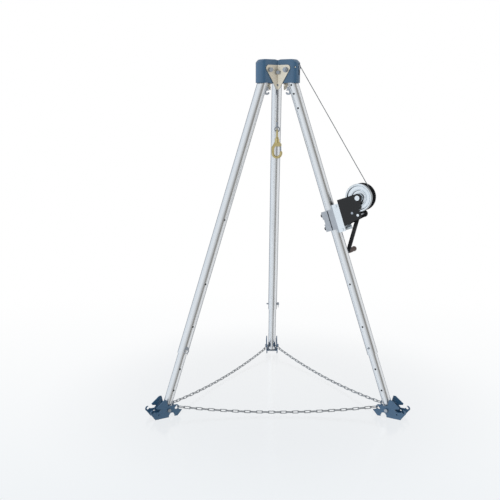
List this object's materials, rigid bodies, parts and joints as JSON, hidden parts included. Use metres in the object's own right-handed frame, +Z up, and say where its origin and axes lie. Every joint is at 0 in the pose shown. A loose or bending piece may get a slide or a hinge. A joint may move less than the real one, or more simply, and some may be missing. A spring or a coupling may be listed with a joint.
{
  "type": "rescue tripod",
  "caption": "Folding rescue tripod with telescopic tube legs, hinged claw feet tied by chain, and a geared hand winch whose wire rope runs over the head to a snap hook.",
  "frame": {"origin": "centre of the footprint's box on the floor", "axes": "+Z up, +Y towards the back leg, +X towards the leg that carries the winch"},
  "size_m": [1.5162, 1.3132, 2.0029],
  "materials": {
    "blue_paint": "gloss powder coat",
    "zinc_plate": "satin zinc plating",
    "leg_alloy": "bright drawn tube",
    "black_paint": "satin black",
    "bolt_steel": "plated steel",
    "chain_steel": "welded steel link",
    "wire_rope": "stranded wire",
    "hook_zinc": "yellow zinc plating",
    "clamp_alloy": "grey machined block",
    "grip_plastic": "moulded"
  },
  "bodies": {
    "head": {"head_shell": "blue_paint", "tie_plate_front": "zinc_plate", "tie_plate_right": "zinc_plate", "tie_plate_left": "zinc_plate", "hinge_bolts": "bolt_steel", "hinge_nuts": "bolt_steel", "plate_bolts": "bolt_steel", "sheave_bracket": "zinc_plate", "entry_axle": "zinc_plate", "centre_axle": "zinc_plate", "rope_over": "wire_rope", "rope_drop": "wire_rope"},
    "entry_wheel": {"entry_sheave": "bolt_steel"},
    "centre_wheel": {"centre_sheave": "bolt_steel"},
    "leg_left": {"upper_leg_left": "leg_alloy", "hook_lug_left": "bolt_steel"},
    "shin_left": {"lower_leg_left": "leg_alloy"},
    "shoe_left": {"foot_left": "blue_paint", "foot_bolt_left": "bolt_steel", "chain_front": "chain_steel"},
    "pin_left": {"leg_pin_left": "bolt_steel"},
    "leg_right": {"upper_leg_right": "leg_alloy", "hook_lug_right": "bolt_steel", "clamp_block": "clamp_alloy", "mount_saddle": "clamp_alloy", "mount_channel": "zinc_plate", "clamp_bolts": "bolt_steel", "winch_frame": "black_paint", "frame_bolts": "zinc_plate", "drum_axle": "zinc_plate", "rope_up": "wire_rope"},
    "shin_right": {"lower_leg_right": "leg_alloy"},
    "shoe_right": {"foot_right": "blue_paint", "foot_bolt_right": "bolt_steel", "chain_right": "chain_steel"},
    "pin_right": {"leg_pin_right": "bolt_steel"},
    "leg_back": {"upper_leg_back": "leg_alloy", "hook_lug_back": "bolt_steel"},
    "shin_back": {"lower_leg_back": "leg_alloy"},
    "shoe_back": {"foot_back": "blue_paint", "foot_bolt_back": "bolt_steel", "chain_left": "chain_steel"},
    "pin_back": {"leg_pin_back": "bolt_steel"},
    "drum": {"winch_drum": "black_paint", "drum_gear": "bolt_steel", "drum_cover": "zinc_plate", "rope_winding": "wire_rope"},
    "crank": {"pinion_shaft": "bolt_steel", "crank_arm": "black_paint", "grip_spindle": "bolt_steel"},
    "grip": {"crank_grip": "grip_plastic"},
    "rope_eye": {"rope_thimble": "bolt_steel", "hook_swivel": "hook_zinc"},
    "hook": {"hook_body": "hook_zinc", "gate_pin": "bolt_steel"},
    "gate": {"hook_gate": "bolt_steel"}
  },
  "joints": [
    {"name": "leg_left_fold", "type": "hinge", "parent": "head", "child": "leg_left", "pos_m": [-0.06495, -0.23361, 1.94492], "axis": [0.5, -0.866, 0], "range_deg": [0, 17], "deforming": ["chain_front", "chain_left"]},
    {"name": "leg_left_slide", "type": "slide", "parent": "leg_left", "child": "shin_left", "axis": [-0.2848, -0.1644, -0.9444], "range_m": [-0.254, 0.508], "deforming": ["chain_front", "chain_left"]},
    {"name": "foot_left_tilt", "type": "hinge", "parent": "shin_left", "child": "shoe_left", "pos_m": [-0.63884, -0.56494, 0.042], "axis": [0.5, -0.866, 0], "range_deg": [-20, 20], "deforming": ["chain_front", "chain_left"]},
    {"name": "pin_left_pull", "type": "slide", "parent": "leg_left", "child": "pin_left", "axis": [0.5, -0.866, 0], "range_m": [0, 0.075]},
    {"name": "leg_right_fold", "type": "hinge", "parent": "head", "child": "leg_right", "pos_m": [0.06495, -0.23361, 1.94492], "axis": [0.5, 0.866, 0], "range_deg": [0, 17], "deforming": ["chain_front", "chain_right", "rope_up"]},
    {"name": "leg_right_slide", "type": "slide", "parent": "leg_right", "child": "shin_right", "axis": [0.2848, -0.1644, -0.9444], "range_m": [-0.254, 0.508], "deforming": ["chain_front", "chain_right"]},
    {"name": "foot_right_tilt", "type": "hinge", "parent": "shin_right", "child": "shoe_right", "pos_m": [0.63884, -0.56494, 0.042], "axis": [0.5, 0.866, 0], "range_deg": [-20, 20], "deforming": ["chain_front", "chain_right"]},
    {"name": "pin_right_pull", "type": "slide", "parent": "leg_right", "child": "pin_right", "axis": [0.5, 0.866, 0], "range_m": [0, 0.075]},
    {"name": "leg_back_fold", "type": "hinge", "parent": "head", "child": "leg_back", "pos_m": [0, -0.12111, 1.94492], "axis": [-1, 0, 0], "range_deg": [0, 17], "deforming": ["chain_right", "chain_left"]},
    {"name": "leg_back_slide", "type": "slide", "parent": "leg_back", "child": "shin_back", "axis": [0, 0.3289, -0.9444], "range_m": [-0.254, 0.508], "deforming": ["chain_right", "chain_left"]},
    {"name": "foot_back_tilt", "type": "hinge", "parent": "shin_back", "child": "shoe_back", "pos_m": [0, 0.54156, 0.042], "axis": [-1, 0, 0], "range_deg": [-20, 20], "deforming": ["chain_right", "chain_left"]},
    {"name": "pin_back_pull", "type": "slide", "parent": "leg_back", "child": "pin_back", "axis": [1, 0, 0], "range_m": [0, 0.075]},
    {"name": "drum_turn", "type": "hinge", "parent": "leg_right", "child": "drum", "pos_m": [0.45893, -0.46107, 1.24669], "axis": [0.5, 0.866, 0], "range_deg": [-1080, 72], "deforming": ["rope_winding", "rope_up", "rope_drop"]},
    {"name": "crank_turn", "type": "hinge", "parent": "leg_right", "child": "crank", "pos_m": [0.43459, -0.44701, 1.16119], "axis": [0.5, 0.866, 0], "range_deg": [-361, 5401]},
    {"name": "grip_turn", "type": "hinge", "parent": "crank", "child": "grip", "pos_m": [0.43428, -0.31982, 0.91949], "axis": [0.5, 0.866, 0], "continuous": true},
    {"name": "entry_turn", "type": "hinge", "parent": "head", "child": "entry_wheel", "pos_m": [0.10912, -0.25911, 1.95892], "axis": [0.5, 0.866, 0], "range_deg": [-3601, 241]},
    {"name": "centre_turn", "type": "hinge", "parent": "head", "child": "centre_wheel", "pos_m": [0.01559, -0.20511, 1.95892], "axis": [0.5, 0.866, 0], "range_deg": [-3601, 241]},
    {"name": "hook_lift", "type": "slide", "parent": "head", "child": "rope_eye", "axis": [0, 0, 1], "range_m": [-1.132, 0.0756], "deforming": ["rope_drop"]},
    {"name": "hook_turn", "type": "hinge", "parent": "rope_eye", "child": "hook", "pos_m": [0, -0.19611, 1.55732], "axis": [0, 0, 1], "continuous": true},
    {"name": "gate_swing", "type": "hinge", "parent": "hook", "child": "gate", "pos_m": [0.019, -0.19611, 1.52232], "axis": [0, 1, 0], "range_deg": [0, 30], "stiffness_Nm_per_rad": 0.2, "springref_deg": -11.46}
  ],
  "couplings": [
    {"joint": "crank_turn", "follows": "drum_turn", "ratio": -5},
    {"joint": "entry_turn", "follows": "drum_turn", "ratio": 3.3333},
    {"joint": "centre_turn", "follows": "drum_turn", "ratio": 3.3333},
    {"joint": "hook_lift", "follows": "drum_turn", "m_per_rad": 0.06}
  ]
}
